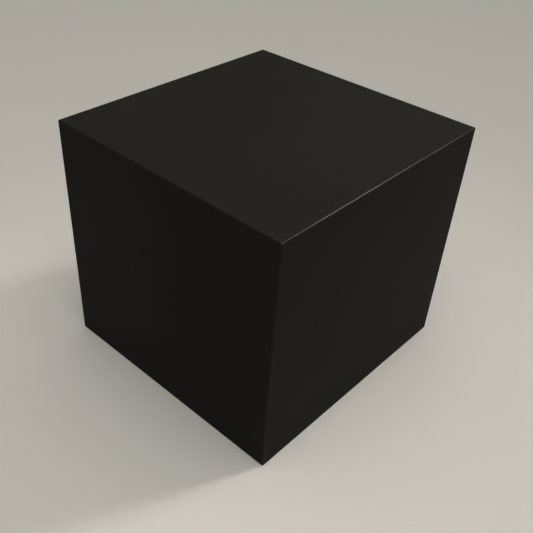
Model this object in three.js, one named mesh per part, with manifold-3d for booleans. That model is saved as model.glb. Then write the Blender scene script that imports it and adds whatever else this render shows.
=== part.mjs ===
// Near-cubic apple box: mitred black plywood panels on a hidden frame of tongues, blocks, battens and ribs.
// Millimetres, +Z up. The origin is the middle of the underside, the front is -Y and the right side is +X.
import * as THREE from 'three';
import { ConvexGeometry } from 'three/addons/geometries/ConvexGeometry.js';
import { mergeVertices } from 'three/addons/utils/BufferGeometryUtils.js';
import Module from 'manifold-3d';

const wasm = await Module();
wasm.setup();

// Driving dimensions
const width = 390; // along X
const depth = 400; // along Y
const height = 360; // along Z
const board = 18; // panel thickness
const arris = 1; // easing along every outer edge
const glueGap = 0.3; // room left round a piece that is let into another

// Loose tongues, which cross each mitre at a right angle
const tongueThickness = 4;
const tongueWidth = 12;
const tongueDepth = 10.5; // from either outer face to the middle of the tongue
const tongueStop = 40; // from either end of the mitre to the end of the tongue

// Bottom panel and the battens over it
const bottomGap = 0.5; // joint line round the bottom panel
const battenSize = 20;

// Corner blocks
const blockSize = 22;
const blockBevel = 6;

// Crossed ribs
const ribThickness = 12;
const housingDepth = 4; // groove in each side that takes the end of a rib

// Bottom screws
const screwLength = 35;
const screwRadius = 2;
const headRadius = 4;
const headRecess = 0.4; // the head sits this far inside the underside
const pointLength = 6;
const recessArm = 4.4; // across the cross-shaped driver recess
const recessWidth = 1;
const recessDepth = 1.8;
const screwSpread = 100; // from the middle of a side to each of its screws
const roundSides = 20;
const cutBelow = 1; // the screw holes are cut from this far under the underside

// What follows from them
const innerX = width / 2 - board;
const innerY = depth / 2 - board;
const innerTop = height - board;
const battenTop = board + battenSize;
const screwX = innerX - battenSize / 2;
const screwY = innerY - battenSize / 2;

const satinBlack = { color: 0x1c1c19, roughness: 0.42, metalness: 0 };
const birchPly = { color: 0xd2b487, roughness: 0.7, metalness: 0 };
const pine = { color: 0xdcbd86, roughness: 0.75, metalness: 0 };
const blackScrew = { color: 0x2a2a2c, roughness: 0.45, metalness: 0.8 };

const box = new THREE.Group();

function addPiece(name, geometry, finish) {
  const mesh = new THREE.Mesh(geometry, new THREE.MeshStandardMaterial(finish));
  mesh.name = name;
  box.add(mesh);
}

// A closed three.js geometry as a solid that can be cut, with the corners that coincide made one
const sameCorner = 1e-4;

function solidOf(geometry) {
  const bare = geometry.clone();
  bare.deleteAttribute('normal');
  bare.deleteAttribute('uv');
  const merged = mergeVertices(bare, sameCorner);
  return new wasm.Manifold(new wasm.Mesh({
    numProp: 3,
    vertProperties: new Float32Array(merged.attributes.position.array),
    triVerts: new Uint32Array(merged.index.array),
  }));
}

function geometryOf(solid) {
  const mesh = solid.getMesh();
  const geometry = new THREE.BufferGeometry();
  geometry.setAttribute('position', new THREE.BufferAttribute(mesh.vertProperties, 3));
  geometry.setIndex(new THREE.BufferAttribute(mesh.triVerts, 1));
  geometry.computeVertexNormals();
  return geometry;
}

function cut(geometry, cutters) {
  const result = cutters.reduce((solid, cutter) => solid.subtract(solidOf(cutter)), solidOf(geometry));
  return geometryOf(result);
}

function block(sizeX, sizeY, sizeZ, x, y, z) {
  return new THREE.BoxGeometry(sizeX, sizeY, sizeZ).translate(x, y, z);
}

// The four points of a rectangle in a panel's plane, at one depth under its outer face
function rectangle(place, halfU, lowV, highV, depthIn) {
  const corners = [[-halfU, lowV], [halfU, lowV], [halfU, highV], [-halfU, highV]];
  return corners.map(([u, v]) => place(u, v, depthIn));
}

// The eight mitres that hold a tongue: the middle of the tongue, the way to the arris, and the way along it
function mitre(centre, toArris, along, length) {
  return {
    centre: new THREE.Vector3(...centre),
    toArris: new THREE.Vector3(...toArris).normalize(),
    along: new THREE.Vector3(...along),
    length: length - 2 * tongueStop,
  };
}

const tongueX = width / 2 - tongueDepth;
const tongueY = depth / 2 - tongueDepth;
const tongueZ = height - tongueDepth;

function topMitre(sideX, sideY) {
  const along = [Math.abs(sideY), Math.abs(sideX), 0];
  return mitre([sideX * tongueX, sideY * tongueY, tongueZ], [sideX, sideY, 1], along, sideX ? depth : width);
}

function cornerMitre(sideX, sideY) {
  return mitre([sideX * tongueX, sideY * tongueY, height / 2], [sideX, sideY, 0], [0, 0, 1], height);
}

const mitres = {
  top_tongue_front: topMitre(0, -1),
  top_tongue_back: topMitre(0, 1),
  top_tongue_left: topMitre(-1, 0),
  top_tongue_right: topMitre(1, 0),
  corner_tongue_front_left: cornerMitre(-1, -1),
  corner_tongue_front_right: cornerMitre(1, -1),
  corner_tongue_back_left: cornerMitre(-1, 1),
  corner_tongue_back_right: cornerMitre(1, 1),
};

// A tongue or its groove: a bar whose thickness points to the arris and whose width crosses the mitre
function tongueBar(edge, allowance) {
  const bar = new THREE.BoxGeometry(
    tongueThickness + 2 * allowance,
    tongueWidth + 2 * allowance,
    edge.length + 2 * allowance,
  );
  const across = new THREE.Vector3().crossVectors(edge.along, edge.toArris);
  bar.applyMatrix4(new THREE.Matrix4().makeBasis(edge.toArris, across, edge.along));
  return bar.translate(edge.centre.x, edge.centre.y, edge.centre.z);
}

function grooves(...names) {
  return names.map((name) => tongueBar(mitres[name], glueGap));
}

// Top: mitred under all four edges, with half of each eased arris
function topPanel() {
  const place = (u, v, depthIn) => new THREE.Vector3(u, v, height - depthIn);
  const section = (inset, depthIn) => rectangle(
    place, width / 2 - inset, inset - depth / 2, depth / 2 - inset, depthIn,
  );
  const points = [...section(arris, 0), ...section(arris / 2, arris / 2), ...section(board, board)];
  return cut(
    new ConvexGeometry(points),
    grooves('top_tongue_front', 'top_tongue_back', 'top_tongue_left', 'top_tongue_right'),
  );
}

// Side: mitred at the top and both upright edges, square at the bottom, with a groove for the end of a rib
function sidePanel(place, span, cutters) {
  const points = [
    ...rectangle(place, span / 2 - arris, arris, height - arris, 0),
    ...rectangle(place, span / 2 - arris / 2, arris / 2, height - arris / 2, arris / 2),
    place(arris - span / 2, 0, arris),
    place(span / 2 - arris, 0, arris),
    ...rectangle(place, span / 2 - board, 0, height - board, board),
  ];
  return cut(new ConvexGeometry(points), cutters);
}

// The groove for the end of a rib runs from the top of the batten to the inner face of the top panel
const housingLength = innerTop - battenTop;
const housingMiddle = battenTop + housingLength / 2;
const housingWidth = ribThickness + 2 * glueGap;

function housingInX(side) {
  return block(2 * housingDepth, housingWidth, housingLength, side * innerX, 0, housingMiddle);
}

function housingInY(side) {
  return block(housingWidth, 2 * housingDepth, housingLength, 0, side * innerY, housingMiddle);
}

function addPanels() {
  const front = (u, v, depthIn) => new THREE.Vector3(u, depthIn - depth / 2, v);
  const back = (u, v, depthIn) => new THREE.Vector3(u, depth / 2 - depthIn, v);
  const left = (u, v, depthIn) => new THREE.Vector3(depthIn - width / 2, u, v);
  const right = (u, v, depthIn) => new THREE.Vector3(width / 2 - depthIn, u, v);
  const frontGrooves = grooves('top_tongue_front', 'corner_tongue_front_left', 'corner_tongue_front_right');
  const backGrooves = grooves('top_tongue_back', 'corner_tongue_back_left', 'corner_tongue_back_right');
  const leftGrooves = grooves('top_tongue_left', 'corner_tongue_front_left', 'corner_tongue_back_left');
  const rightGrooves = grooves('top_tongue_right', 'corner_tongue_front_right', 'corner_tongue_back_right');
  addPiece('top_panel', topPanel(), satinBlack);
  addPiece('front_panel', sidePanel(front, width, [...frontGrooves, housingInY(-1)]), satinBlack);
  addPiece('back_panel', sidePanel(back, width, [...backGrooves, housingInY(1)]), satinBlack);
  addPiece('left_panel', sidePanel(left, depth, [...leftGrooves, housingInX(-1)]), satinBlack);
  addPiece('right_panel', sidePanel(right, depth, [...rightGrooves, housingInX(1)]), satinBlack);
}

function addTongues() {
  for (const [name, edge] of Object.entries(mitres)) {
    addPiece(name, tongueBar(edge, 0), birchPly);
  }
}

// A round piece or cutter standing on the point x, y, from its half outline as radius and height
function turned(profile, x, y) {
  const points = profile.map(([radius, z]) => new THREE.Vector2(radius, z));
  return new THREE.LatheGeometry(points, roundSides).rotateX(Math.PI / 2).translate(x, y, 0);
}

// Clearance hole with a countersunk mouth, from below the underside up to the given height
function screwHole(x, y, top) {
  const radius = screwRadius + glueGap;
  const mouth = headRadius + glueGap;
  const profile = [
    [0, -cutBelow],
    [mouth, -cutBelow],
    [mouth, headRecess],
    [radius, headRecess + mouth - radius],
    [radius, top],
    [0, top],
  ];
  return turned(profile, x, y);
}

const screwPlaces = [
  [-screwSpread, -screwY],
  [screwSpread, -screwY],
  [screwX, -screwSpread],
  [screwX, screwSpread],
  [screwSpread, screwY],
  [-screwSpread, screwY],
  [-screwX, screwSpread],
  [-screwX, -screwSpread],
];

function screwHoles() {
  return screwPlaces.map(([x, y]) => screwHole(x, y, headRecess + screwLength + glueGap));
}

// Battens: the front and back ones run right across, and the side ones fit between them
function addBattens() {
  const middle = board + battenSize / 2;
  const sideLength = 2 * (innerY - battenSize);
  const battens = {
    batten_front: block(2 * innerX, battenSize, battenSize, 0, -screwY, middle),
    batten_back: block(2 * innerX, battenSize, battenSize, 0, screwY, middle),
    batten_left: block(battenSize, sideLength, battenSize, -screwX, 0, middle),
    batten_right: block(battenSize, sideLength, battenSize, screwX, 0, middle),
  };
  const holes = screwHoles();
  for (const [name, batten] of Object.entries(battens)) {
    addPiece(name, cut(batten, holes), pine);
  }
}

function addBottomPanel() {
  const panel = block(2 * (innerX - bottomGap), 2 * (innerY - bottomGap), board, 0, 0, board / 2);
  addPiece('bottom_panel', cut(panel, screwHoles()), satinBlack);
}

// Upright glue blocks, square with the inner edge planed off
function addCornerBlocks() {
  const corners = { front_left: [-1, -1], front_right: [1, -1], back_left: [-1, 1], back_right: [1, 1] };
  for (const [name, [sideX, sideY]] of Object.entries(corners)) {
    const outline = [
      [0, 0],
      [blockSize, 0],
      [blockSize, blockSize - blockBevel],
      [blockSize - blockBevel, blockSize],
      [0, blockSize],
    ].map(([inX, inY]) => [sideX * (innerX - inX), sideY * (innerY - inY)]);
    const points = outline.flatMap(([x, y]) => [battenTop, innerTop].map((z) => new THREE.Vector3(x, y, z)));
    addPiece(`corner_block_${name}`, new ConvexGeometry(points), pine);
  }
}

// A rib's outline: housed at both ends, notched over the battens, and halved over the other rib in the middle
function ribOutline(halfInside, slotFromTop) {
  const end = halfInside + housingDepth - glueGap;
  const notchEnd = halfInside - battenSize - glueGap;
  const notchTop = battenTop + glueGap;
  const slot = ribThickness / 2 + glueGap;
  const crossing = (board + innerTop) / 2;
  const lower = [[-end, notchTop], [-notchEnd, notchTop], [-notchEnd, board]];
  const upper = [[notchEnd, board], [notchEnd, notchTop], [end, notchTop], [end, innerTop]];
  const slotFloor = crossing - glueGap;
  const slotRoof = crossing + glueGap;
  const topSlot = [[slot, innerTop], [slot, slotFloor], [-slot, slotFloor], [-slot, innerTop]];
  const bottomSlot = [[-slot, board], [-slot, slotRoof], [slot, slotRoof], [slot, board]];
  const middle = slotFromTop ? [...upper, ...topSlot] : [...bottomSlot, ...upper];
  return [...lower, ...middle, [-end, innerTop]];
}

function rib(halfInside, slotFromTop) {
  const outline = ribOutline(halfInside, slotFromTop).map(([u, z]) => new THREE.Vector2(u, z));
  const plain = { depth: ribThickness, bevelEnabled: false };
  const plate = new THREE.ExtrudeGeometry(new THREE.Shape(outline), plain);
  return plate.translate(0, 0, -ribThickness / 2).rotateX(Math.PI / 2);
}

function addRibs() {
  addPiece('rib_crossways', rib(innerX, false), birchPly);
  addPiece('rib_lengthways', rib(innerY, true).rotateZ(Math.PI / 2), birchPly);
}

// Countersunk wood screw, head down, with a cross recess
function screw(x, y) {
  const neck = headRecess + headRadius - screwRadius;
  const point = headRecess + screwLength;
  const profile = [
    [0, headRecess],
    [headRadius, headRecess],
    [screwRadius, neck],
    [screwRadius, point - pointLength],
    [0, point],
  ];
  return cut(turned(profile, x, y), [
    block(recessArm, recessWidth, 2 * recessDepth, x, y, headRecess),
    block(recessWidth, recessArm, 2 * recessDepth, x, y, headRecess),
  ]);
}

function addScrews() {
  screwPlaces.forEach(([x, y], index) => {
    addPiece(`bottom_screw_${index + 1}`, screw(x, y), blackScrew);
  });
}

addPanels();
addBottomPanel();
addTongues();
addCornerBlocks();
addBattens();
addRibs();
addScrews();

export default box;
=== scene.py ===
# %% [markdown]
# # A black apple box
#
# An apple box is a closed wooden box that film and photo crews stand on, sit on and prop things with.
# This one is nearly a cube: mitred birch plywood, filled, sanded and sprayed satin black. The maker's
# whole skill goes into making the joints disappear, so what is left for the eye is the shape, one fine
# soft line of light along each edge, and the way the lacquer holds a dim, blurred picture of the room.
#
# The measured frame comes first. It is the engineering model of the box, one object for each real
# piece, and everything below is built round it in the same place and at the same size.

# %% Load the measured frame
import math

import bpy
import numpy as np
from mathutils import Matrix, Vector


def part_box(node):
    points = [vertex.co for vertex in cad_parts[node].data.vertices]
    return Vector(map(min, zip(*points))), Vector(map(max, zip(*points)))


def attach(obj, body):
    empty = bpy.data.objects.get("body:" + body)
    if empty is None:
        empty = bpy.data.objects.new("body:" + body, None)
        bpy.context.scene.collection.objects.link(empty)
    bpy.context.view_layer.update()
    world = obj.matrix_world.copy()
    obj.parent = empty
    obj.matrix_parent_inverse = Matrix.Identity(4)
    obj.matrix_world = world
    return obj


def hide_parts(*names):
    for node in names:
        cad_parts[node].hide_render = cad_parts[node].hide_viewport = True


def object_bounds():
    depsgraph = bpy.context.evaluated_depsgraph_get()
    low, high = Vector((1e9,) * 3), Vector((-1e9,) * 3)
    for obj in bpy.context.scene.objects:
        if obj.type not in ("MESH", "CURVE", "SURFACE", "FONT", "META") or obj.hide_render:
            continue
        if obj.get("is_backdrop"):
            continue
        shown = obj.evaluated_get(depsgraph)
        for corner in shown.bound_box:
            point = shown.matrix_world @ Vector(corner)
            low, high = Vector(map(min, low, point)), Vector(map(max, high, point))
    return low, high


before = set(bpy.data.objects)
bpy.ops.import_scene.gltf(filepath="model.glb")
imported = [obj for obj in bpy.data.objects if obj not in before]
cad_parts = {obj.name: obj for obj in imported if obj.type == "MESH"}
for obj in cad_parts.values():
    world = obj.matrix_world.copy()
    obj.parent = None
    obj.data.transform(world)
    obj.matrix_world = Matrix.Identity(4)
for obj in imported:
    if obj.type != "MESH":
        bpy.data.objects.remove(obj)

cad_low, cad_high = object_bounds()
print("the box measures", [round(side * 1000) for side in cad_high - cad_low], "mm")

# %% [markdown]
# ## Sizes
#
# Every place is read from the frame, so a change to the box there carries through to here. Only what
# the frame doesn't show is given here: how far the sander rounded each edge, and the make-up of the
# plywood. All lengths are in metres, so a millimetre gets its own name.

# %% Read the sizes off the frame
MM = 0.001

BOX_LOW = np.array(cad_low)
BOX_HIGH = np.array(cad_high)
BOX_SIZE = BOX_HIGH - BOX_LOW


def node_box(node):
    """A frame piece's lowest and highest corners, as two arrays."""
    low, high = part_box(node)
    return np.array(low), np.array(high)


top_low, top_high = node_box("top_panel")
BOARD = top_high[2] - top_low[2]
ARRIS = 1.7 * MM  # radius of every outer edge: at the corner it takes off as much as a 1 mm flat
SAWN_EDGE = 0.6 * MM  # rubbed edge on a piece that is never seen
VENEER = BOARD / 13  # birch plywood of this thickness has 13 veneers

print("boards", round(BOARD / MM, 1), "mm thick, each veneer", round(VENEER / MM, 2), "mm")

# %% [markdown]
# ## From sheets of points to a closed piece
#
# Each face of a piece is a sheet: a grid of points, worked out as one array. The sheets of a piece meet
# along the same points, so welding the points that coincide gives one closed skin. Where two grid lines
# lie on top of each other, the cells between them have no area and drop out. That is how a groove gets
# its upright walls: two lines in one place, and only one of them is pushed in.
#
# A closed skin has every edge shared by exactly two faces. The builder counts the edges that aren't,
# and prints that number, which has to be 0. Blender's own primitives and Boolean cuts would make these
# shapes too, but cuts leave thin, uneven faces, and each one has to be checked afterwards.

# %% Lay out sheets and weld them
WELD = 0.0005 * MM  # points that fall in one cell of this size are one point
WELD_SHIFT = 0.37  # in cells: keeps whole millimetres off the borders between cells


def sheet(points, finish=0, keep=None):
    """The cells of a grid of points as four-cornered faces. keep drops the cells where it is false."""
    rows, columns = points.shape[:2]
    number = np.arange(rows * columns).reshape(rows, columns)
    cells = np.stack([number[:-1, :-1], number[1:, :-1], number[1:, 1:], number[:-1, 1:]], axis=-1)
    cells = cells[keep] if keep is not None else cells.reshape(-1, 4)
    return points.reshape(-1, 3), cells, np.full(len(cells), finish)


def weld(sheets):
    """Joins sheets into one skin: points that coincide become one, and cells with no area drop out."""
    sizes = np.cumsum([0] + [len(points) for points, _, _ in sheets])
    points = np.concatenate([s[0] for s in sheets])
    faces = np.concatenate([s[1] + offset for s, offset in zip(sheets, sizes)])
    finishes = np.concatenate([s[2] for s in sheets])
    keys = np.floor(points / WELD + WELD_SHIFT).astype(np.int64)
    _, first, place = np.unique(keys, axis=0, return_index=True, return_inverse=True)
    faces = place.reshape(-1)[faces]
    doubled = faces == np.roll(faces, -1, axis=1)
    whole = doubled.sum(1) == 0
    three = doubled.sum(1) == 1
    triangles = faces[three][~doubled[three]].reshape(-1, 3)
    polygons = faces[whole].tolist() + triangles.tolist()
    return points[first], polygons, np.concatenate([finishes[whole], finishes[three]])


def open_edges(polygons):
    """How many edges aren't shared by exactly two faces that run along it in opposite ways."""
    ways = np.array([pair for face in polygons for pair in zip(face, face[1:] + face[:1])])
    there = set(map(tuple, ways.tolist()))
    back = set(map(tuple, ways[:, ::-1].tolist()))
    return len(there ^ back) + len(ways) - len(there)


def signed_volume(points, polygons):
    """The volume inside a skin, which is negative if its faces point inwards."""
    fans = np.array([(f[0], f[i], f[i + 1]) for f in polygons for i in range(1, len(f) - 1)])
    a, b, c = points[fans[:, 0]], points[fans[:, 1]], points[fans[:, 2]]
    return float(np.einsum("ij,ij->i", a, np.cross(b, c)).sum() / 6)


print("points in one cell of", WELD / MM, "mm are welded")

# %% [markdown]
# ## One rule for every eased edge
#
# A real edge is never sharp: glasspaper takes it off and the lacquer draws round it. The rule here takes
# a point of the sharp box and gives the same point of the eased box. Take the box shrunk by the radius,
# find its nearest point, and look at the small step from there to the point. Inside that last radius
# the sharp box is a little cube, and the eased box is a ball, so the step keeps its direction and is
# shortened by the ratio of its longest side to its length.
#
# The rule never turns a step, so it leaves a 45 degree plane through the edge where it is. Two mitred
# boards eased this way still meet exactly, and the joint runs down the middle of the round. A Bevel on
# each board would round the two sides of the joint apart and leave a groove along it.

# %% Ease the edges of a box
EASE_STEPS = 4


def ease(points, low, high, radius):
    """Rounds the edges of the box low..high: step = step * largest side of step / length of step."""
    nearest = np.clip(points, low + radius, high - radius)
    step = points - nearest
    length = np.linalg.norm(step, axis=-1, keepdims=True)
    longest = np.abs(step).max(axis=-1, keepdims=True)
    return nearest + step * np.divide(longest, length, out=np.ones_like(length), where=length > 0)


def edge_lines(low, high, radius):
    """Grid lines that the rule spreads evenly round both edges: the tangents of equal angles up to 45."""
    angles = np.linspace(0, math.pi / 4, EASE_STEPS + 1)
    inwards = radius * (1 - np.tan(angles))
    return np.concatenate([low + inwards, high - inwards])


eased = np.linalg.norm(BOX_HIGH - ease(BOX_HIGH, BOX_LOW, BOX_HIGH, ARRIS))
print("easing takes", round(float(eased) / MM, 2), "mm off each corner of the box")

# %% [markdown]
# ## Turning a skin into a piece
#
# Wood has a direction. Each piece carries its own board coordinates: along the grain, across it, and
# down through the thickness. They are stored on the points as an attribute, so one plywood and one pine
# serve every piece, whichever way it is turned, and the veneers show as stripes wherever an edge or a
# mitre cuts through them.
#
# Shading is smooth up to 30 degrees, and Weighted Normal keeps the broad faces flat beside their narrow
# round edges. Without it the light would seem to bend across the whole side.

# %% Make the piece from its skin
SMOOTH_UP_TO = 30  # degrees


def make_piece(name, points, polygons, finishes, materials, board_axes, board_origin):
    """An object with its place in its mesh, its faces pointing out, and its board coordinates."""
    if signed_volume(points, polygons) < 0:
        polygons = [face[::-1] for face in polygons]
    mesh = bpy.data.meshes.new(name)
    mesh.from_pydata(points.tolist(), [], polygons)
    mesh.polygons.foreach_set("material_index", finishes.astype(np.int32))
    mesh.polygons.foreach_set("use_smooth", np.ones(len(polygons), bool))
    board = (points - np.array(board_origin, float)) @ np.array(board_axes, float).T
    mesh.attributes.new("board", "FLOAT_VECTOR", "POINT").data.foreach_set("vector", board.ravel())
    for material in materials:
        mesh.materials.append(material)
    mesh.set_sharp_from_angle(angle=math.radians(SMOOTH_UP_TO))
    mesh.update()
    piece = bpy.data.objects.new(name, mesh)
    bpy.context.scene.collection.objects.link(piece)
    flatten = piece.modifiers.new("flat faces", "WEIGHTED_NORMAL")
    flatten.keep_sharp = True
    litres = abs(signed_volume(points, polygons)) * 1000
    print(f"{name}: {len(polygons)} faces, {open_edges(polygons)} open edges, {litres:.4f} litres")
    return piece


def stand_in(piece, node):
    """The piece rides on the one body and stands for its frame piece, which is hidden."""
    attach(piece, "root")
    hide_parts(node)


print("edges that turn more than", SMOOTH_UP_TO, "degrees are shaded sharp")

# %% [markdown]
# ## Colour and nodes
#
# Colours are written as they would be picked on a screen, and one function turns them into the linear
# values that light is added up in. One more function adds a node, sets it and links it, so a material
# reads as a list of what is in it. Marks in wood are long along the grain and narrow across it, so a last
# one makes a noise of a given width and length.

# %% Colour and node helpers


def linear(code):
    """A screen colour such as "8A6F4D" as linear red, green, blue and a full alpha."""
    values = np.array([int(code[i:i + 2], 16) for i in (0, 2, 4)]) / 255
    curve = np.where(values <= 0.04045, values / 12.92, ((values + 0.055) / 1.055) ** 2.4)
    return (*curve.tolist(), 1.0)


def pick(sockets, name=None):
    """The first socket in use, or the first in use that has the name."""
    return next(socket for socket in sockets if socket.enabled and name in (None, socket.name))


def add(tree, kind, inputs=None, **settings):
    """Adds a node. settings are its properties; an input takes a value, a node or another node's output."""
    node = tree.nodes.new("ShaderNode" + kind)
    for name, value in settings.items():
        setattr(node, name, value)
    for key, value in (inputs or {}).items():
        socket = node.inputs[key] if isinstance(key, int) else pick(node.inputs, key)
        if isinstance(value, bpy.types.Node):
            value = pick(value.outputs)
        if isinstance(value, bpy.types.NodeSocket):
            tree.links.new(value, socket)
        else:
            socket.default_value = value
    return node


def blank_material(name):
    """A material with nothing in it yet but its output."""
    material = bpy.data.materials.new(name)
    material.use_nodes = True
    tree = material.node_tree
    tree.nodes.clear()
    return material, tree


def show(tree, shader):
    add(tree, "OutputMaterial", {"Surface": shader})


def wood_marks(tree, board, size, **inputs):
    """Marks size[0] wide and size[1] long: a noise of size 1 on board coordinates divided by the size."""
    divided = add(tree, "Mapping", {"Vector": board, "Scale": (1 / size[1], 1 / size[0], 1 / size[0])})
    return add(tree, "TexNoise", {"Vector": divided, "Scale": 1.0, **inputs})


print("screen grey 808080 is", round(linear("808080")[0], 3), "in linear light")

# %% [markdown]
# ## Satin black lacquer
#
# The outside is birch plywood, grain-filled, primed and sprayed with two coats of low satin black
# polyurethane. Lacquer like this is a clear binder full of carbon black and a matting powder. The black
# swallows nearly all the light that gets in, and the powder breaks up the top of the film, so a flat face
# reflects only about a sixth of what bare lacquer would, and blurs it. Along the edges hands and other
# boxes rub the powder flat. There the reflection is sharp, and that is the fine line of light round the
# box.
#
# One even satin would be simpler, but it makes either the faces grey or the edges dead. So the lacquer has
# two roughnesses, matted and burnished, and the distance from the nearest edge mixes them. How much it
# reflects is one number on the shader itself, so it goes along when the box is taken to another program.
# The rest is in small departures from a perfect film:
#
# - orange peel, the faint dimpling left by spray droplets, really 1 to 2 mm across and drawn at 5 mm,
#   the finest that shows at this size
# - the ghost of the grain under the film, long and narrow, a few thousandths of a millimetre high
# - slow clouds in the sheen, where the gun passed quicker or slower
# - a trace of grey scuffing underneath and round the foot, where the box is slid about on the floor
#
# How far a point is from the nearest edge comes from its place: of its three distances to the box's
# sides, one is zero because it lies on a side, and the next smallest is the distance to the edge.

# %% Satin black lacquer
LACQUER = dict(body="131310", scuff="2A2926", ior=1.5, specular=0.08)
MATTED = 0.66  # roughness where the powder stands in the skin of the film
BURNISHED = 0.24  # roughness where it has been rubbed flat
PEEL = 5 * MM
GRAIN_GHOST = (3 * MM, 140 * MM)
CLOUD = 120 * MM
DRIFT = dict(tint=0.11, roughness=0.03)
BREAK_UP = 4 * MM
NOISE_RANGE = (0.3, 0.7)  # nearly all of a noise lies between these
SCUFFED = dict(strength=0.45, none=0.48, full=0.75)
PEEL_HIGH = 0.02 * MM
GHOST_HIGH = 0.004 * MM
SHINE_REACH = 2.2 * MM
SCUFF_REACH = 5 * MM


def edge_distance(tree, place):
    """Distance to the nearest edge of the box: the second smallest of the distances to its sides."""
    middle = (BOX_LOW + BOX_HIGH) / 2
    centred = add(tree, "VectorMath", {0: place, 1: middle.tolist()}, operation="SUBTRACT")
    mirrored = add(tree, "VectorMath", {0: centred}, operation="ABSOLUTE")
    inwards = add(tree, "VectorMath", {0: (BOX_SIZE / 2).tolist(), 1: mirrored}, operation="SUBTRACT")
    x, y, z = add(tree, "SeparateXYZ", {0: inwards}).outputs
    low_xy = add(tree, "Math", {0: x, 1: y}, operation="MINIMUM")
    high_xy = add(tree, "Math", {0: x, 1: y}, operation="MAXIMUM")
    nearer = add(tree, "Math", {0: high_xy, 1: z}, operation="MINIMUM")
    return add(tree, "Math", {0: low_xy, 1: nearer}, operation="MAXIMUM")


def satin_lacquer():
    material, tree = blank_material("satin_black_lacquer")
    place = pick(add(tree, "TexCoord").outputs, "Object")
    board = pick(add(tree, "Attribute", attribute_name="board").outputs, "Vector")

    peel = add(tree, "TexNoise", {"Vector": place, "Scale": 1 / PEEL, "Detail": 1.5, "Roughness": 0.4})
    ghost = wood_marks(tree, board, GRAIN_GHOST, Detail=3.0)
    clouds = add(tree, "TexNoise", {"Vector": place, "Scale": 1 / CLOUD, "Detail": 2.0})
    broken = add(tree, "TexNoise", {"Vector": place, "Scale": 1 / BREAK_UP, "Detail": 4.0})

    reach = add(tree, "Math", {0: broken, 1: SHINE_REACH, 2: ARRIS}, operation="MULTIPLY_ADD")
    rubbed = add(tree, "MapRange", {
        "Value": edge_distance(tree, place), "From Min": ARRIS / 2, "From Max": reach,
        "To Min": 1.0, "To Max": 0.0,
    })
    height = pick(add(tree, "SeparateXYZ", {0: place}).outputs, "Z")
    slid = add(tree, "MapRange", {
        "Value": height, "From Min": 0.5 * MM, "From Max": SCUFF_REACH,
        "To Min": SCUFFED["strength"], "To Max": 0.0,
    })
    patches = add(tree, "MapRange", {
        "Value": broken, "From Min": SCUFFED["none"], "From Max": SCUFFED["full"],
    })
    scuffed = add(tree, "Math", {0: slid, 1: patches}, operation="MULTIPLY")

    tint = add(tree, "MapRange", {
        "Value": clouds, "From Min": NOISE_RANGE[0], "From Max": NOISE_RANGE[1],
        "To Min": 1 - DRIFT["tint"], "To Max": 1 + DRIFT["tint"],
    })
    body = add(tree, "VectorMath", {0: linear(LACQUER["body"])[:3], "Scale": tint}, operation="SCALE")
    colour = add(tree, "Mix", {"Factor": scuffed, "A": body, "B": linear(LACQUER["scuff"])}, data_type="RGBA")

    sheen = add(tree, "MapRange", {
        "Value": clouds, "From Min": NOISE_RANGE[0], "From Max": NOISE_RANGE[1],
        "To Min": MATTED - DRIFT["roughness"], "To Max": MATTED + DRIFT["roughness"],
    })
    shine = add(tree, "MapRange", {"Value": rubbed, "To Min": sheen, "To Max": BURNISHED})

    grain_bump = add(tree, "Bump", {"Strength": 1.0, "Distance": GHOST_HIGH, "Height": ghost})
    peel_bump = add(tree, "Bump", {
        "Strength": 1.0, "Distance": PEEL_HIGH, "Height": peel, "Normal": grain_bump,
    })
    show(tree, add(tree, "BsdfPrincipled", {
        "Base Color": colour, "Roughness": shine, "IOR": LACQUER["ior"],
        "Specular IOR Level": LACQUER["specular"], "Normal": peel_bump,
    }))
    return material


lacquer = satin_lacquer()
print("lacquer: roughness", MATTED, "on the faces and", BURNISHED, "along the edges")

# %% [markdown]
# ## Birch plywood
#
# Inside, the plywood is only sanded. A birch face is pale and quiet: fine short pores along the grain
# and broad, hazy flames where the knife cut round the log. Cut through, the sheet is 13 veneers, every
# other one showing its end grain, which drinks light and looks darker, with a thin brown glue line
# between each and the next. The stripes come from the third board coordinate, the depth into the board,
# so they appear by themselves on mitres, grooves and sawn ends. A painted picture of the edge would have
# to be fitted to each of them by hand.

# %% Birch plywood
PLY = dict(face="D9BE94", flame="C9A878", end="B48F60", glue="6E4C2B", roughness=0.62, ior=1.45)
PORE = (0.7 * MM, 9 * MM)
FLAME = (22 * MM, 190 * MM)
PORE_DEEP = 0.03 * MM
GLUE_LINE = (0.03, 0.1)  # in veneers from the joint: full up to the first, gone at the second


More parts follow.
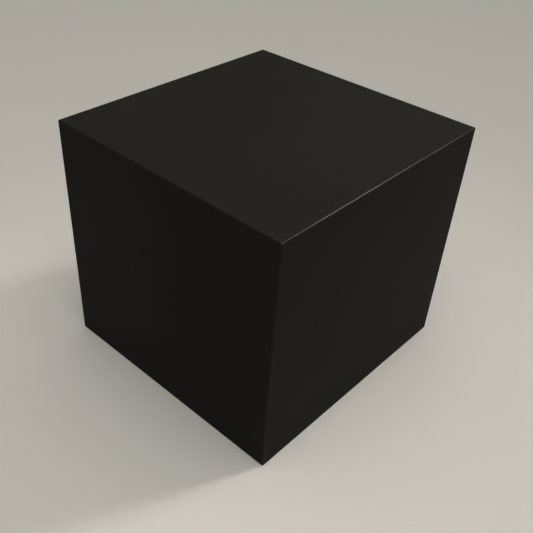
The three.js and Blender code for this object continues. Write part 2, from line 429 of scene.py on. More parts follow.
def birch_plywood():
    material, tree = blank_material("sanded_birch_plywood")
    board = pick(add(tree, "Attribute", attribute_name="board").outputs, "Vector")
    depth = pick(add(tree, "SeparateXYZ", {0: board}).outputs, "Z")

    flames = wood_marks(tree, board, FLAME, Detail=5.0, Distortion=0.8)
    pores = wood_marks(tree, board, PORE, Detail=2.0)
    pairs = add(tree, "Math", {0: depth, 1: 2 * VENEER}, operation="DIVIDE")
    phase = add(tree, "Math", {0: pairs}, operation="FRACT")
    end_grain = add(tree, "Math", {0: phase, 1: 0.5}, operation="GREATER_THAN")
    singles = add(tree, "Math", {0: depth, 1: VENEER}, operation="DIVIDE")
    from_glue = add(tree, "Math", {0: singles, 1: 0.5}, operation="PINGPONG")
    glue = add(tree, "MapRange", {
        "Value": from_glue, "From Min": GLUE_LINE[0], "From Max": GLUE_LINE[1], "To Min": 0.6, "To Max": 0.0,
    })

    face = add(tree, "Mix", {
        "Factor": flames, "A": linear(PLY["face"]), "B": linear(PLY["flame"]),
    }, data_type="RGBA")
    layered = add(tree, "Mix", {"Factor": end_grain, "A": face, "B": linear(PLY["end"])}, data_type="RGBA")
    marks = add(tree, "MapRange", {
        "Value": pores, "From Min": 0.62, "From Max": 0.75, "To Min": 0.0, "To Max": 0.35,
    })
    pored = add(tree, "Mix", {"Factor": marks, "A": layered, "B": linear(PLY["end"])}, data_type="RGBA")
    glued = add(tree, "Mix", {"Factor": glue, "A": pored, "B": linear(PLY["glue"])}, data_type="RGBA")

    sanding = add(tree, "MapRange", {
        "Value": flames, "To Min": PLY["roughness"] - 0.06, "To Max": PLY["roughness"] + 0.08,
    })
    bump = add(tree, "Bump", {"Strength": 1.0, "Distance": PORE_DEEP, "Height": pores})
    show(tree, add(tree, "BsdfPrincipled", {
        "Base Color": glued, "Roughness": sanding, "IOR": PLY["ior"], "Normal": bump,
    }))
    return material


plywood = birch_plywood()
print("plywood: pores", PORE[0] / MM, "by", PORE[1] / MM, "mm")

# %% [markdown]
# ## Planed pine
#
# The battens and corner blocks are pine, planed on four sides. Pine shows its years: pale early wood and
# a thin, darker late wood line every few millimetres. The rings are cylinders round a centre that lies
# outside the stick, so a long face shows them as nearly straight stripes and an end as arcs. The distance
# from that centre, bent a little by a slow noise, gives the rings, and a power of its fraction gives the
# slow rise to late wood and the sudden return to early wood. Stretched noise alone would be quicker, but
# then the stripes on a side wouldn't run into the arcs on the end.

# %% Planed pine
PINE = dict(early="E3C793", late="B9874E", roughness=0.58, ior=1.45)
RING = 2.6 * MM
PITH = (0.0, 34 * MM, 41 * MM)
WANDER = (30 * MM, 400 * MM)
WANDER_WIDE = 6 * MM
LATE_POWER = 3.0


def planed_pine():
    material, tree = blank_material("planed_pine")
    board = pick(add(tree, "Attribute", attribute_name="board").outputs, "Vector")
    wander = wood_marks(tree, board, WANDER, Detail=2.0)
    fibres = wood_marks(tree, board, PORE, Detail=2.0)
    from_pith = add(tree, "VectorMath", {0: board, 1: PITH}, operation="SUBTRACT")
    flat = add(tree, "VectorMath", {0: from_pith, 1: (0.0, 1.0, 1.0)}, operation="MULTIPLY")
    radius = pick(add(tree, "VectorMath", {0: flat}, operation="LENGTH").outputs, "Value")
    bent = add(tree, "Math", {0: wander, 1: WANDER_WIDE, 2: radius}, operation="MULTIPLY_ADD")
    years = add(tree, "Math", {0: bent, 1: RING}, operation="DIVIDE")
    season = add(tree, "Math", {0: years}, operation="FRACT")
    late = add(tree, "Math", {0: season, 1: LATE_POWER}, operation="POWER")
    ringed = add(tree, "Mix", {
        "Factor": late, "A": linear(PINE["early"]), "B": linear(PINE["late"]),
    }, data_type="RGBA")
    shade = add(tree, "MapRange", {"Value": fibres, "To Min": 0.88, "To Max": 1.08})
    colour = add(tree, "VectorMath", {0: ringed, "Scale": shade}, operation="SCALE")
    polish = add(tree, "MapRange", {
        "Value": late, "To Min": PINE["roughness"], "To Max": PINE["roughness"] - 0.12,
    })
    bump = add(tree, "Bump", {"Strength": 1.0, "Distance": PORE_DEEP, "Height": fibres})
    show(tree, add(tree, "BsdfPrincipled", {
        "Base Color": colour, "Roughness": polish, "IOR": PINE["ior"], "Normal": bump,
    }))
    return material


pine = planed_pine()
print("pine: a ring every", RING / MM, "mm")

# %% [markdown]
# ## Blackened steel
#
# The bottom is held by hardened wood screws with a black phosphate finish. Phosphate is a layer of fine
# crystals, dry and grey-black, that holds a film of oil. It makes the steel dark and rather rough, and
# patchy at the scale of a millimetre. Paint would be a black plastic with a clear reflection. This is a
# metal with a dark colour, and one noise changes its colour, its roughness and its height together, as a
# thicker or thinner layer of crystals does.

# %% Blackened steel
STEEL = dict(dark="26272A", light="3D3E41", roughness=0.44)
CRYSTAL = 0.8 * MM
CRYSTAL_HIGH = 0.01 * MM


def blackened_steel():
    material, tree = blank_material("black_phosphated_steel")
    place = pick(add(tree, "TexCoord").outputs, "Object")
    patchy = add(tree, "TexNoise", {"Vector": place, "Scale": 1 / CRYSTAL, "Detail": 3.0})
    colour = add(tree, "Mix", {
        "Factor": patchy, "A": linear(STEEL["dark"]), "B": linear(STEEL["light"]),
    }, data_type="RGBA")
    dull = add(tree, "MapRange", {
        "Value": patchy, "To Min": STEEL["roughness"] - 0.1, "To Max": STEEL["roughness"] + 0.12,
    })
    bump = add(tree, "Bump", {"Strength": 1.0, "Distance": CRYSTAL_HIGH, "Height": patchy})
    show(tree, add(tree, "BsdfPrincipled", {
        "Base Color": colour, "Metallic": 1.0, "Roughness": dull, "Normal": bump,
    }))
    return material


steel = blackened_steel()
print("steel: patches of", CRYSTAL / MM, "mm")

# %% [markdown]
# ## The five mitred panels
#
# The top is mitred on all four edges. Each side is mitred at the top and at both upright edges, and
# square at the bottom, where the bottom panel drops in between the sides. All five are one shape: a
# board given by three coordinates, x and v across its outer face and n, the depth under that face. A
# mitre takes as much off the edge as the depth, so near a mitred edge the grid leans in: the last
# 30 mm are pressed together by n. Further in, every line stays put, so the ends of the grooves are
# square.
#
# Each mitre has a stopped groove for its loose tongue, and the inner face of each side has a housing
# for the end of a rib. Both are pushed in from the flat sheet between doubled grid lines.

# %% Sizes of the grooves and housings
LEAN = 30 * MM
GLUE = 0.3 * MM  # room for glue round a tongue or a rib's end
TONGUE = dict(thick=4 * MM, wide=12 * MM)

tongue_low, tongue_high = node_box("corner_tongue_front_right")
TONGUE_DEPTH = BOX_HIGH[0] - (tongue_low[0] + tongue_high[0]) / 2
GROOVE_HALF = (TONGUE["thick"] / 2 + GLUE) / math.sqrt(2)
GROOVE_DEEP = TONGUE["wide"] / 2 + GLUE

_, batten_high = node_box("batten_front")
rib_low, rib_high = node_box("rib_crossways")
INNER_X = BOX_HIGH[0] - BOARD
HOUSING_HALF = (rib_high[1] - rib_low[1]) / 2 + GLUE
HOUSING_DEEP = rib_high[0] - INNER_X + GLUE
HOUSING_FOOT = batten_high[2]
print("tongue", round(TONGUE_DEPTH / MM, 1), "mm in, housing", round(HOUSING_DEEP / MM, 1), "mm deep")

# %% The shape of a mitred panel


def lines(*groups):
    """All the values given, in order. A value given twice stays twice."""
    return np.sort(np.concatenate([np.atleast_1d(np.asarray(group, float)) for group in groups]))


def twice(*values):
    return np.repeat(values, 2)


def between(values, start, stop):
    """True for the grid lines from the second line at start to the first line at stop."""
    inside = np.zeros(len(values), bool)
    first = np.searchsorted(values, start + WELD, side="right") - 1
    last = np.searchsorted(values, stop - WELD, side="left")
    inside[first:last + 1] = True
    return inside


def lean(value, low, high, n, low_mitred=True):
    """A line near a mitred edge moves in by n at the edge, and by nothing at LEAN from it."""
    near_high = np.clip((value - (high - LEAN)) / LEAN, 0, 1)
    near_low = np.clip(((low + LEAN) - value) / LEAN, 0, 1) * low_mitred
    return value - n * near_high + n * near_low


def mitred_panel(place, x_span, v_span, x_groove, v_groove, is_side):
    """A board whose edges are mitred: the six sheets of a box in x, v and n, with grooves pushed in.

    x_groove and v_groove are the half lengths of the grooves that run along x and along v, v_groove
    about the middle of v_span. A side also has a rib's housing, and its foot, the low end of v, is
    square, lacquered and bare of groove.
    """
    (x0, x1), (v0, v1) = x_span, v_span
    v_mid = (v0 + v1) / 2
    pocket = (v_mid - v_groove, v_mid + v_groove)
    xs = lines(edge_lines(x0, x1, ARRIS), (x0 + LEAN, x1 - LEAN), twice(-x_groove, x_groove),
               twice(-HOUSING_HALF, HOUSING_HALF) if is_side else [])
    vs = lines(edge_lines(v0, v1, ARRIS), (v0 + LEAN, v1 - LEAN), twice(*pocket),
               [HOUSING_FOOT, HOUSING_FOOT, v1] if is_side else [])
    slot = (TONGUE_DEPTH - GROOVE_HALF, TONGUE_DEPTH + GROOVE_HALF)
    ns = lines(edge_lines(0, BOARD, ARRIS)[:EASE_STEPS + 1], twice(*slot), BOARD)

    def at(x, v, n):
        x, v, n = np.broadcast_arrays(x, v, n)
        return np.stack([lean(x, x0, x1, n), lean(v, v0, v1, n, not is_side), n], axis=-1)

    def pushed(points, mask, way, deep):
        return points + mask[..., None] * np.array(way, float) * deep

    outer = at(xs[:, None], vs[None, :], 0.0)[:, ::-1]
    inner = at(xs[:, None], vs[None, :], BOARD)
    if is_side:
        room = np.outer(between(xs, -HOUSING_HALF, HOUSING_HALF), between(vs, HOUSING_FOOT, v1))
        inner = pushed(inner, room, (0, 0, -1), HOUSING_DEEP)
    diagonal = math.sqrt(0.5)
    across = between(ns, *slot)
    upright = np.outer(between(vs, *pocket), across)
    level = np.outer(between(xs, -x_groove, x_groove), across)
    left = pushed(at(x0, vs[:, None], ns[None, :]), upright, (diagonal, 0, -diagonal), GROOVE_DEEP)
    right = pushed(at(x1, vs[:, None], ns[None, :]), upright, (-diagonal, 0, -diagonal), GROOVE_DEEP)
    head = pushed(at(xs[:, None], v1, ns[None, :]), level, (0, -diagonal, -diagonal), GROOVE_DEEP)
    base = at(xs[:, None], v0, ns[None, :])
    if not is_side:
        base = pushed(base, level, (0, diagonal, -diagonal), GROOVE_DEEP)
    raw = int(not is_side)
    sheets = [
        (outer, 0), (inner, 1), (left[:, ::-1], 1), (right, 1), (head[:, ::-1], 1), (base, raw),
    ]
    placed = [sheet(ease(place(points), BOX_LOW, BOX_HIGH, ARRIS), finish) for points, finish in sheets]
    return weld(placed)


leaned = lean(BOX_LOW[0], BOX_LOW[0], BOX_HIGH[0], BOARD) - BOX_LOW[0]
print("on its inner face a mitred board ends", round(leaned / MM, 1), "mm further in")

# %% [markdown]
# ## Putting the panels round the box
#
# A panel is placed by saying where its x, v and n run on the box. The grain runs upright on the four
# sides and from front to back on the top, as the sheets would be cut. One side turned three times would
# also close the box if it were square, but this one is deeper than it is wide.

# %% Make the five panels


def placed_by(origin, x_way, v_way, n_way):
    """A function from x, v, n on a board to a place on the box: origin + x, v and n along their ways."""
    axes = np.array([x_way, v_way, n_way], float)
    return lambda points: np.array(origin, float) + points @ axes


x_half, y_half = BOX_HIGH[0], BOX_HIGH[1]
tall = BOX_HIGH[2]
tongue_front = node_box("top_tongue_front")
tongue_right = node_box("top_tongue_right")
groove_x = (tongue_front[1][0] - tongue_front[0][0]) / 2 + GLUE
groove_y = (tongue_right[1][1] - tongue_right[0][1]) / 2 + GLUE
groove_z = (tongue_high[2] - tongue_low[2]) / 2 + GLUE

panels = {  # where x, v and n are nought, and the ways they run
    "top_panel": ((0, 0, tall), ((1, 0, 0), (0, 1, 0), (0, 0, -1))),
    "front_panel": ((0, -y_half, 0), ((1, 0, 0), (0, 0, 1), (0, 1, 0))),
    "back_panel": ((0, y_half, 0), ((1, 0, 0), (0, 0, 1), (0, -1, 0))),
    "left_panel": ((-x_half, 0, 0), ((0, 1, 0), (0, 0, 1), (1, 0, 0))),
    "right_panel": ((x_half, 0, 0), ((0, 1, 0), (0, 0, 1), (-1, 0, 0))),
}

for node, (origin, ways) in panels.items():
    is_top = node == "top_panel"
    along_x = ways[0][0] == 1
    x_side = x_half if along_x else y_half
    skin = mitred_panel(
        placed_by(origin, *ways), (-x_side, x_side), (-y_half, y_half) if is_top else (0, tall),
        groove_x if along_x else groove_y, groove_y if is_top else groove_z, not is_top,
    )
    _, grain, inwards = ways
    axes = [grain, np.cross(inwards, grain), inwards]
    piece = make_piece("lacquered_" + node, *skin, [lacquer, plywood], axes, origin)
    stand_in(piece, node)

# %% [markdown]
# ## Boards and bars with holes drilled up into them
#
# The bottom panel is let in between the sides, flush with their lower edges, and eight countersunk
# screws go up through it into the battens. A round hole in a square grid is awkward, so each hole gets a
# square patch of its own. The plate's cells inside the patch are dropped, and a second grid takes their
# place: its first row runs round the square, the next is the round mouth, and the rows after it go down
# the countersink and the bore. The square has as many points on its sides as the plate has lines
# through it, so the weld closes the join.

# %% A box with round holes
PATCH = 6 * MM
SIDE_STEPS = 12


def square_wave(turn):
    """Runs 1, falls, -1, rises over each four units: the x of a point that goes round a square."""
    return np.clip(2 * np.abs(np.mod(turn - 0.5, 4) - 2) - 2, -1, 1)


def hole(centre, rows):
    """A grid of (row, turn). A row is (share, radius, z): the share of the square, plus a circle."""
    turn = np.arange(4 * SIDE_STEPS + 1) / SIDE_STEPS
    square = np.stack([square_wave(turn), square_wave(turn - 1)], axis=-1) * PATCH
    angle = (turn - 0.5) * math.pi / 2
    circle = np.stack([np.cos(angle), np.sin(angle)], axis=-1)
    circle[-1] = circle[0]
    share, radius, z = np.array(rows, float).T
    flat = centre + share[:, None, None] * square + radius[:, None, None] * circle
    return np.concatenate([flat, np.broadcast_to(z[:, None, None], flat.shape[:2] + (1,))], axis=-1)


def drilled_box(low, high, radius, centres, rows, sprayed=None):
    """An eased box with a hole from below at each centre, right through if the hole's last row is square.

    sprayed is how deep into the holes the lacquer of the underside reaches. What is sprayed has finish 0
    and the rest finish 1. Without it everything has finish 0.
    """
    steps = np.linspace(-PATCH, PATCH, SIDE_STEPS + 1)
    xs = lines(edge_lines(low[0], high[0], radius), *(x + steps for x in np.unique(centres[:, 0])))
    ys = lines(edge_lines(low[1], high[1], radius), *(y + steps for y in np.unique(centres[:, 1])))
    zs = lines(edge_lines(low[2], high[2], radius))
    x_mid, y_mid = (xs[1:] + xs[:-1]) / 2, (ys[1:] + ys[:-1]) / 2
    near = [np.outer(np.abs(x_mid - x) < PATCH, np.abs(y_mid - y) < PATCH) for x, y in centres]
    uncut = ~np.any(near, axis=0)

    def at(x, y, z):
        return np.stack(np.broadcast_arrays(x, y, z), axis=-1)

    through = rows[-1][0] == 1
    rest = int(sprayed is not None)
    sheets = [
        (at(xs[:, None], ys[None, :], low[2])[:, ::-1], 0, uncut[:, ::-1]),
        (at(xs[:, None], ys[None, :], high[2]), rest, uncut if through else None),
        (at(low[0], ys[:, None], zs[None, :])[:, ::-1], rest, None),
        (at(high[0], ys[:, None], zs[None, :]), rest, None),
        (at(xs[:, None], low[1], zs[None, :]), rest, None),
        (at(xs[:, None], high[1], zs[None, :])[:, ::-1], rest, None),
    ]
    skins = [sheet(ease(points, low, high, radius), finish, keep) for points, finish, keep in sheets]
    for centre in centres:
        points, cells, _ = sheet(hole(centre, rows))
        bare = points[cells][..., 2].max(axis=1) > low[2] + (sprayed or 0) + WELD
        skins.append((points, cells, rest * bare))
    return weld(skins)


print("each hole is round in", 4 * SIDE_STEPS, "steps, in a patch", 2 * PATCH / MM, "mm square")

# %% [markdown]
# ## The screws' places and the bottom panel
#
# The bottom is the one panel that comes off: it drops in square between the sides, and the screws hold
# it. Their places come from the frame. Underneath, the panel is lacquered like the rest, and so are its
# countersinks, but the bores and its upper face are raw. So its skin has two finishes, told apart by
# how deep each face lies, where a second object for the lacquer would lie on top of the wood and flicker.

# %% Make the bottom panel
SHANK = 2 * MM
CLEAR = 0.3 * MM  # room round a screw, and where a rib passes a batten or the other rib

screws = {f"bottom_screw_{number}": node_box(f"bottom_screw_{number}") for number in range(1, 9)}
screw_centres = np.array([((low + high) / 2)[:2] for low, high in screws.values()])
screw_low, screw_high = screws["bottom_screw_1"]
HEAD = (screw_high[0] - screw_low[0]) / 2
SUNK = screw_low[2]
MOUTH = HEAD + CLEAR
BORE = SHANK + CLEAR
COUNTERSINK = SUNK + MOUTH - BORE

bottom_low, bottom_high = node_box("bottom_panel")
through_rows = [
    (1, 0, bottom_low[2]), (0, MOUTH, bottom_low[2]), (0, MOUTH, SUNK), (0, BORE, COUNTERSINK),
    (0, BORE, bottom_high[2]), (1, 0, bottom_high[2]),
]
skin = drilled_box(bottom_low, bottom_high, SAWN_EDGE, screw_centres, through_rows, sprayed=COUNTERSINK)
piece = make_piece(
    "lacquered_bottom_panel", *skin, [lacquer, plywood], [(0, 1, 0), (-1, 0, 0), (0, 0, 1)], (0, 0, 0),
)
stand_in(piece, "bottom_panel")

# %% [markdown]
# ## Battens
#
# Four pine battens stand on the bottom panel along its edges, glued to the sides. The screws end inside
# them, so their holes are blind: the last row of the hole's grid is a single point. The same function
# makes them as made the panel, since a batten is only a narrow board with holes from below.

# %% Make the battens
for side in ("front", "back", "left", "right"):
    low, high = node_box("batten_" + side)
    inside = np.all((screw_centres > low[:2]) & (screw_centres < high[:2]), axis=1)
    blind = screw_high[2] + CLEAR
    blind_rows = [(1, 0, low[2]), (0, BORE, low[2]), (0, BORE, blind), (0, 0, blind)]
    skin = drilled_box(low, high, SAWN_EDGE, screw_centres[inside], blind_rows)
    runs_along_x = high[0] - low[0] > high[1] - low[1]
    axes = [(1, 0, 0), (0, 1, 0), (0, 0, 1)] if runs_along_x else [(0, 1, 0), (-1, 0, 0), (0, 0, 1)]
    piece = make_piece("pine_batten_" + side, *skin, [pine], axes, (low + high) / 2)
    stand_in(piece, "batten_" + side)

# %% [markdown]
# ## Straight sticks of any section
#
# Loose tongues and corner blocks are straight sticks: an outline carried along a line. The outline is
# given as the flats round it, each by the way it faces and its distance from the middle. Move every flat
# in by the edge radius, find the corners there, and go out from each corner by the radius over a quarter
# turn or less. That gives the outline with rounded corners. Near the ends the radius shrinks along a
# quarter circle, so the end edges are eased in the same way, and the last row closes to a point. A Bevel
# on a box would do for the tongues, but not for the blocks' fifth side. This does for both.

# %% A stick from its flats
CORNER_STEPS = 3


def stick(flats, length, radius):
    """Rows (reach, height) of the outline: inset corner + reach * the way out, reach = r sin, r - r cos."""
    angles, offsets = np.array(flats, float).T
    angles = np.radians(angles)
    ways = np.stack([np.cos(angles), np.sin(angles)], axis=-1)
    following = np.roll(np.arange(len(flats)), -1)
    pairs = np.stack([ways, ways[following]], axis=1)
    inset = np.stack([offsets, offsets[following]], axis=1) - radius
    corners = np.linalg.solve(pairs, inset[..., None])[..., 0]
    turn = np.mod(angles[following] - angles, 2 * math.pi)
    fan = angles[:, None] + turn[:, None] * np.linspace(0, 1, CORNER_STEPS + 1)
    outwards = np.stack([np.cos(fan), np.sin(fan)], axis=-1).reshape(-1, 2)
    inner = np.repeat(corners, CORNER_STEPS + 1, axis=0)
    outwards = np.concatenate([outwards, outwards[:1]])
    inner = np.concatenate([inner, inner[:1]])

    quarter = np.linspace(0, math.pi / 2, CORNER_STEPS + 1)
    reach = radius * np.concatenate([np.sin(quarter), np.sin(quarter[::-1])])
    rise = radius * (1 - np.cos(quarter))
    height = np.concatenate([rise, length - rise[::-1]])
    rows = inner + reach[:, None, None] * outwards
    middle = np.broadcast_to(corners.mean(0), rows[:1].shape)
    rows = np.concatenate([middle, rows, middle])
    height = np.concatenate([[0], height, [length]]) - length / 2
    tall = np.broadcast_to(height[:, None, None], rows.shape[:2] + (1,))
    return np.concatenate([rows, tall], axis=-1)


print("each long edge of a stick is rounded in", CORNER_STEPS, "steps")

# %% [markdown]
# ## Loose tongues
#
# A glued mitre alone is weak, so a strip of thin plywood crosses each one at a right angle, half in each
# board, in grooves that stop short of the ends. The two faces that a tongue joins are in its name. Its
# thickness points out to the arris between them, and its width crosses from one board to the other. All
# eight are one stick, turned by those two names, so nothing is placed by hand.

# %% Make the tongues
FACING = dict(
    top=(0, 0, 1), front=(0, -1, 0), back=(0, 1, 0), left=(-1, 0, 0), right=(1, 0, 0),
)
TONGUE_EDGE = 0.4 * MM


def named_ways(node):
    """The two outward ways of the faces in a piece's name."""
    return [np.array(FACING[word], float) for word in node.split("_") if word in FACING]


for node in [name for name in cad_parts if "tongue" in name]:
    first, second = named_ways(node)
    to_arris = (first + second) / math.sqrt(2)
    across = (first - second) / math.sqrt(2)
    along = np.cross(to_arris, across)
    low, high = node_box(node)
    length = np.abs(along) @ (high - low)
    thick, wide = TONGUE["thick"] / 2, TONGUE["wide"] / 2
    flats = [(0, thick), (90, wide), (180, thick), (270, wide)]
    place = placed_by((low + high) / 2, to_arris, across, along)
    skin = weld([sheet(place(stick(flats, length, TONGUE_EDGE)))])
    piece = make_piece("ply_" + node, *skin, [plywood], [across, along, to_arris], (low + high) / 2)
    stand_in(piece, node)

# %% [markdown]
# ## Corner blocks
#
# A pine block is glued into each upright corner, from the battens to the top. Its inner edge is planed
# off, because a square edge there only adds weight and catches. In the outline that is a fifth flat,
# facing the middle of the box, which is simpler than cutting the edge off afterwards.

# %% Make the corner blocks
BLOCK_BEVEL = 6 * MM

for node in [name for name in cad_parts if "corner_block" in name]:
    first, second = named_ways(node)
    low, high = node_box(node)
    size = high - low
    u, w = np.abs(first) @ size, np.abs(second) @ size
    bevel = (u / 2 + w / 2 - BLOCK_BEVEL) / math.sqrt(2)
    flats = [(0, u / 2), (45, bevel), (90, w / 2), (180, u / 2), (270, w / 2)]
    place = placed_by((low + high) / 2, -first, -second, (0, 0, 1))
    skin = weld([sheet(place(stick(flats, size[2], SAWN_EDGE)))])
    piece = make_piece("pine_" + node, *skin, [pine], [(0, 0, 1), first, second], (low + high) / 2)
    stand_in(piece, node)

# %% [markdown]
# ## Crossed ribs
#
# Two upright ribs of plywood cross inside the box and hold the top where a foot lands. They are sawn to
# shape: notched over the battens, and halved over each other, one slot from above and one from below. A
# shape like this is easiest to think of as a board on a grid where each cell is wood or not. Wood cells
# give the two faces, and wherever wood meets no wood, a wall closes the edge. Here a small Bevel takes
# the sharpness off, since these edges meet no other board, and it follows the notches by itself.

# %% A sawn board


def sawn_board(us, vs, wood, thickness):
    """Both faces of the wood cells, and a wall on each grid line where wood changes to no wood."""
    half = thickness / 2
    flat = np.stack(np.broadcast_arrays(us[:, None], vs[None, :], half), axis=-1)
    mirrored = flat * (1, 1, -1)
    padded = np.pad(wood, 1).astype(int)
    skins = [sheet(flat, 0, wood), sheet(mirrored[:, ::-1], 0, wood[:, ::-1])]
    for axis in (0, 1):
        change = -np.diff(padded, axis=axis)
        change = change[:, 1:-1] if axis == 0 else change[1:-1]
        i, j = np.nonzero(change)
        outwards = change[i, j] > 0
        ends = np.array([(0, 0), (0, 1)] if axis == 0 else [(1, 0), (0, 0)])
        start, stop = (flat[i + step[0], j + step[1]] for step in ends)
        start, stop = np.where(outwards[:, None], start, stop), np.where(outwards[:, None], stop, start)
        corners = np.stack([start, stop, stop * (1, 1, -1), start * (1, 1, -1)], axis=1)[:, ::-1]
        skins.append((corners.reshape(-1, 3), np.arange(len(i) * 4).reshape(-1, 4), np.zeros(len(i), int)))
    return weld(skins)


_, faces, _ = sawn_board(np.arange(3) * MM, np.arange(2) * MM, np.array([[True], [True]]), MM)
print("a board of two cells has", len(faces), "faces and", open_edges(faces), "open edges")

# %% Make the ribs
batten_inside = {
    "rib_crossways": node_box("batten_right")[0][0],
    "rib_lengthways": node_box("batten_back")[0][1],
}
notch_top = batten_high[2] + CLEAR
rib_foot, rib_head = rib_low[2], rib_high[2]
rib_thick = rib_high[1] - rib_low[1]
crossing = (rib_foot + rib_head) / 2
slot_half = rib_thick / 2 + CLEAR

for node, inside in batten_inside.items():
    low, high = node_box(node)
    crossways = node == "rib_crossways"
    along = np.array((1, 0, 0) if crossways else (0, 1, 0), float)
    end = np.abs(along) @ high
    notch = inside - CLEAR
    slot_end = crossing + CLEAR if crossways else crossing - CLEAR
    us = lines([-end, -notch, -slot_half, slot_half, notch, end])
    vs = lines([rib_foot, notch_top, slot_end, rib_head])
    u_mid, v_mid = np.meshgrid((us[1:] + us[:-1]) / 2, (vs[1:] + vs[:-1]) / 2, indexing="ij")
    in_notch = (np.abs(u_mid) > notch) & (v_mid < notch_top)
    in_slot = (np.abs(u_mid) < slot_half) & ((v_mid < slot_end) if crossways else (v_mid > slot_end))
    points, polygons, finishes = sawn_board(us, vs, ~(in_notch | in_slot), rib_thick)
    sideways = np.cross(along, (0, 0, 1))
    points = placed_by((0, 0, 0), along, (0, 0, 1), sideways)(points)
    piece = make_piece("ply_" + node, points, polygons, finishes, [plywood], [(0, 0, 1), along, sideways],
                       -sideways * rib_thick / 2)
    rub = piece.modifiers.new("rubbed edges", "BEVEL")
    rub.width = SAWN_EDGE
    rub.segments = 2
    piece.modifiers.move(len(piece.modifiers) - 1, 0)
    stand_in(piece, node)

# %% [markdown]
# ## Wood screws
#
# A countersunk wood screw is a turned shape with two departures from round: the thread, which is a ridge
# that climbs one pitch each turn, and the cross recess in the head. Both are functions of the angle and
# of the place along the outline, so the whole screw is one grid. The ridge stands on a core and its
# height follows a sharpened wave whose phase is height over pitch less turns. The recess pushes the
# head's flat in where a point lies in either arm of the cross. A Screw modifier could wind the thread, but
# the thread and the core would then be two skins, one inside the other.

# %% Make the screws
PITCH = 1.8 * MM
PITCH_STEPS = 10
THREAD_FROM = 9 * MM
POINT_LENGTH = 6 * MM
CORE = 1.25 * MM
PLAIN = 1.4 * MM
POINT_SHAPE = 0.75  # below 1 the point is a little round, as a rolled one is
FACE_SHARE = 0.95
FACE_ROWS = 20
RIM = np.array([(0.975, 0.01), (0.985, 0.03)])  # radius and height where face turns to cone, in head radii
RECESS = dict(reach=2.2 * MM, half=0.5 * MM, deep=1.8 * MM, wall=0.22 * MM, ramp=1.32 * MM)
TURNS = np.linspace(0, 1, 49)


def cross_depth(x, y):
    """How deep the cross recess is: full inside an arm, sloping up along it, with steep soft walls."""
    def arm(along, across):
        side = np.clip((RECESS["half"] - np.abs(across)) / RECESS["wall"], 0, 1)
        slope = np.clip((RECESS["reach"] - np.abs(along)) / RECESS["ramp"], 0, 1)
        return side * slope
    return RECESS["deep"] * np.maximum(arm(x, y), arm(y, x))


def screw_grid(length):
    """Rows (radius, height) of the outline over the angles, with the recess and the ridge worked in."""
    angle = TURNS * 2 * math.pi
    angle[-1] = 0.0
    face = np.linspace(0, FACE_SHARE * HEAD, FACE_ROWS)
    neck = HEAD - PLAIN
    rim = np.concatenate([RIM * HEAD, [(PLAIN, neck), (PLAIN, THREAD_FROM)]])
    rows = int(round((length - THREAD_FROM) / PITCH * PITCH_STEPS))
    climb = np.linspace(THREAD_FROM, length, rows + 1)[1:]
    taper = np.clip((length - climb) / POINT_LENGTH, 0, 1) ** POINT_SHAPE
    start = np.clip((climb - THREAD_FROM) / PITCH, 0, 1)

    radius = np.concatenate([face, rim[:, 0], CORE * taper])
    height = np.concatenate([np.zeros(len(face)), rim[:, 1], climb])
    ridge = np.concatenate([np.zeros(len(face) + len(rim)), (SHANK - CORE) * taper * start])
    phase = height[:, None] / PITCH - TURNS[None, :]
    wave = (0.5 + 0.5 * np.cos(2 * math.pi * phase)) ** 2
    r = radius[:, None] + ridge[:, None] * wave
    x, y = r * np.cos(angle), r * np.sin(angle)
    on_face = (np.arange(len(radius)) < len(face))[:, None]
    z = height[:, None] + on_face * cross_depth(x, y)
    return np.stack([x, y, z], axis=-1)


for (node, (low, high)), centre in zip(screws.items(), screw_centres):
    grid = screw_grid(high[2] - low[2]) + (*centre, low[2])
    piece = make_piece("steel_" + node, *weld([sheet(grid)]), [steel], np.eye(3), (*centre, low[2]))
    stand_in(piece, node)

# %% [markdown]
# ## Floor, light and camera
#
# A black box shows its shape by how much light each face gets, and its edges by what they mirror. So the
# studio is a plain pale floor; one wide soft light overhead, which makes the top paler than the sides; a
# small gridded light behind to the right, which the burnished edge of the top mirrors as a fine line; and
# a pale room all round.
#
# The room is a function of the height of the view alone: as bright as the far floor at the horizon, so no
# edge shows between them; dim above that, where the top mirrors it; and bright overhead like a ceiling.
# Real walls would do the same, but they would need hiding from every other view.

# %% Floor and light
FLOOR = "ABAAA7"
FLOOR_HALF = 12.0
MOTTLE = 400 * MM


def pale_floor():
    material, tree = blank_material("matt_studio_floor")
    place = pick(add(tree, "TexCoord").outputs, "Object")
    mottle = add(tree, "TexNoise", {"Vector": place, "Scale": 1 / MOTTLE, "Detail": 2.0})
    shade = add(tree, "MapRange", {"Value": mottle, "To Min": 0.98, "To Max": 1.02})
    colour = add(tree, "VectorMath", {0: linear(FLOOR)[:3], "Scale": shade}, operation="SCALE")
    show(tree, add(tree, "BsdfPrincipled", {
        "Base Color": colour, "Roughness": 0.9, "Specular IOR Level": 0.2,
    }))
    return material


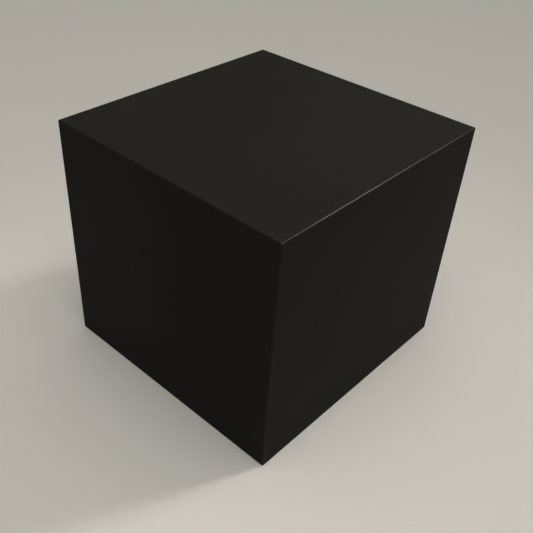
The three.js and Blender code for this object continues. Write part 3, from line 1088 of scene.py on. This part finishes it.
corners = np.array([(-1, -1), (1, -1), (1, 1), (-1, 1)], float) * FLOOR_HALF
floor_mesh = bpy.data.meshes.new("studio_floor")
floor_mesh.from_pydata([(x, y, 0.0) for x, y in corners], [], [(0, 1, 2, 3)])
floor_mesh.materials.append(pale_floor())
floor = bpy.data.objects.new("studio_floor", floor_mesh)
bpy.context.scene.collection.objects.link(floor)
floor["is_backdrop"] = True


def soft_light(name, place, target, size, watts, colour, spread=180):
    """A rectangular soft light at a place, turned to face a target. spread is how wide it fans out."""
    lamp = bpy.data.lights.new(name, "AREA")
    lamp.shape = "RECTANGLE"
    lamp.size, lamp.size_y = size
    lamp.energy = watts
    lamp.color = linear(colour)[:3]
    lamp.spread = math.radians(spread)
    light = bpy.data.objects.new(name, lamp)
    light.location = place
    light.rotation_euler = (Vector(target) - Vector(place)).to_track_quat("-Z", "Y").to_euler()
    bpy.context.scene.collection.objects.link(light)


soft_light(
    "overhead_soft_light", place=(0.5, -0.5, 2.6), target=(0, 0, 0.2), size=(1.8, 1.8), watts=28,
    colour="FFFCF6",
)
soft_light(
    "rim_soft_light", place=(1.3, 2.7, 2.7), target=(BOX_HIGH[0], 0.05, BOX_HIGH[2]), size=(0.9, 0.9),
    watts=1.8, colour="FFF9EF", spread=16,
)

# Strengths of the room's light, and the heights of view, as sines, between which it changes.
WALLS = dict(horizon=0.385, upper=0.08, until=0.35)
CEILING = dict(strength=1.9, starts=0.6, full=0.92)

world = bpy.data.worlds.new("studio_surroundings")
world.use_nodes = True
world_tree = world.node_tree
world_tree.nodes.clear()
direction = pick(add(world_tree, "TexCoord").outputs, "Generated")
upwards = pick(add(world_tree, "SeparateXYZ", {0: direction}).outputs, "Z")
walls = add(world_tree, "MapRange", {
    "Value": upwards, "From Min": 0.0, "From Max": WALLS["until"],
    "To Min": WALLS["horizon"], "To Max": WALLS["upper"],
}, interpolation_type="SMOOTHSTEP")
ceiling = add(world_tree, "MapRange", {
    "Value": upwards, "From Min": CEILING["starts"], "From Max": CEILING["full"],
    "To Min": 0.0, "To Max": CEILING["strength"],
}, interpolation_type="SMOOTHSTEP")
strength = add(world_tree, "Math", {0: walls, 1: ceiling}, operation="ADD")
surroundings = add(world_tree, "Background", {"Color": linear("F9F5EE"), "Strength": strength})
add(world_tree, "OutputWorld", {"Surface": surroundings})
bpy.context.scene.world = world
bpy.context.scene.view_settings.view_transform = "Standard"
print("studio:", round(2 * FLOOR_HALF), "m of floor,", round(CEILING["strength"] / WALLS["horizon"], 1),
      "times as bright overhead as at the horizon")

# %% [markdown]
# The camera looks down on the front right corner from about arm's length, a normal lens on a full-frame
# sensor. It leans a little to one side, as a camera held in the hand does.

# %% Camera
CAMERA = dict(azimuth=41.9, elevation=37.55, lean=2.74, distance=1.051, aim=(0.006, -0.046, 0.130))
LENS = dict(lens=47.8, sensor_width=36, shift_x=0.044, shift_y=0.02)

azimuth, elevation, tilt = (math.radians(CAMERA[key]) for key in ("azimuth", "elevation", "lean"))
back = Vector((
    math.sin(azimuth) * math.cos(elevation),
    -math.cos(azimuth) * math.cos(elevation),
    math.sin(elevation),
))
level = Vector((math.cos(azimuth), math.sin(azimuth), 0))
right = math.cos(tilt) * level + math.sin(tilt) * back.cross(level)
turned = Matrix((right, back.cross(right), back)).transposed().to_4x4()
camera_data = bpy.data.cameras.new("camera")
for name, value in LENS.items():
    setattr(camera_data, name, value)
camera = bpy.data.objects.new("camera", camera_data)
camera.matrix_world = Matrix.Translation(Vector(CAMERA["aim"]) + back * CAMERA["distance"]) @ turned
bpy.context.scene.collection.objects.link(camera)
bpy.context.scene.camera = camera
print("camera at", [round(value, 3) for value in camera.matrix_world.translation])

# %% [markdown]
# ## Last measure
#
# The finished box has to fill the same space as the frame, so its size is printed here, as the frame's was at
# the start.

# %% Print the finished box's size
low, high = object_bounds()
print("the finished box measures", [round((b - a) / MM, 2) for a, b in zip(low, high)], "mm")
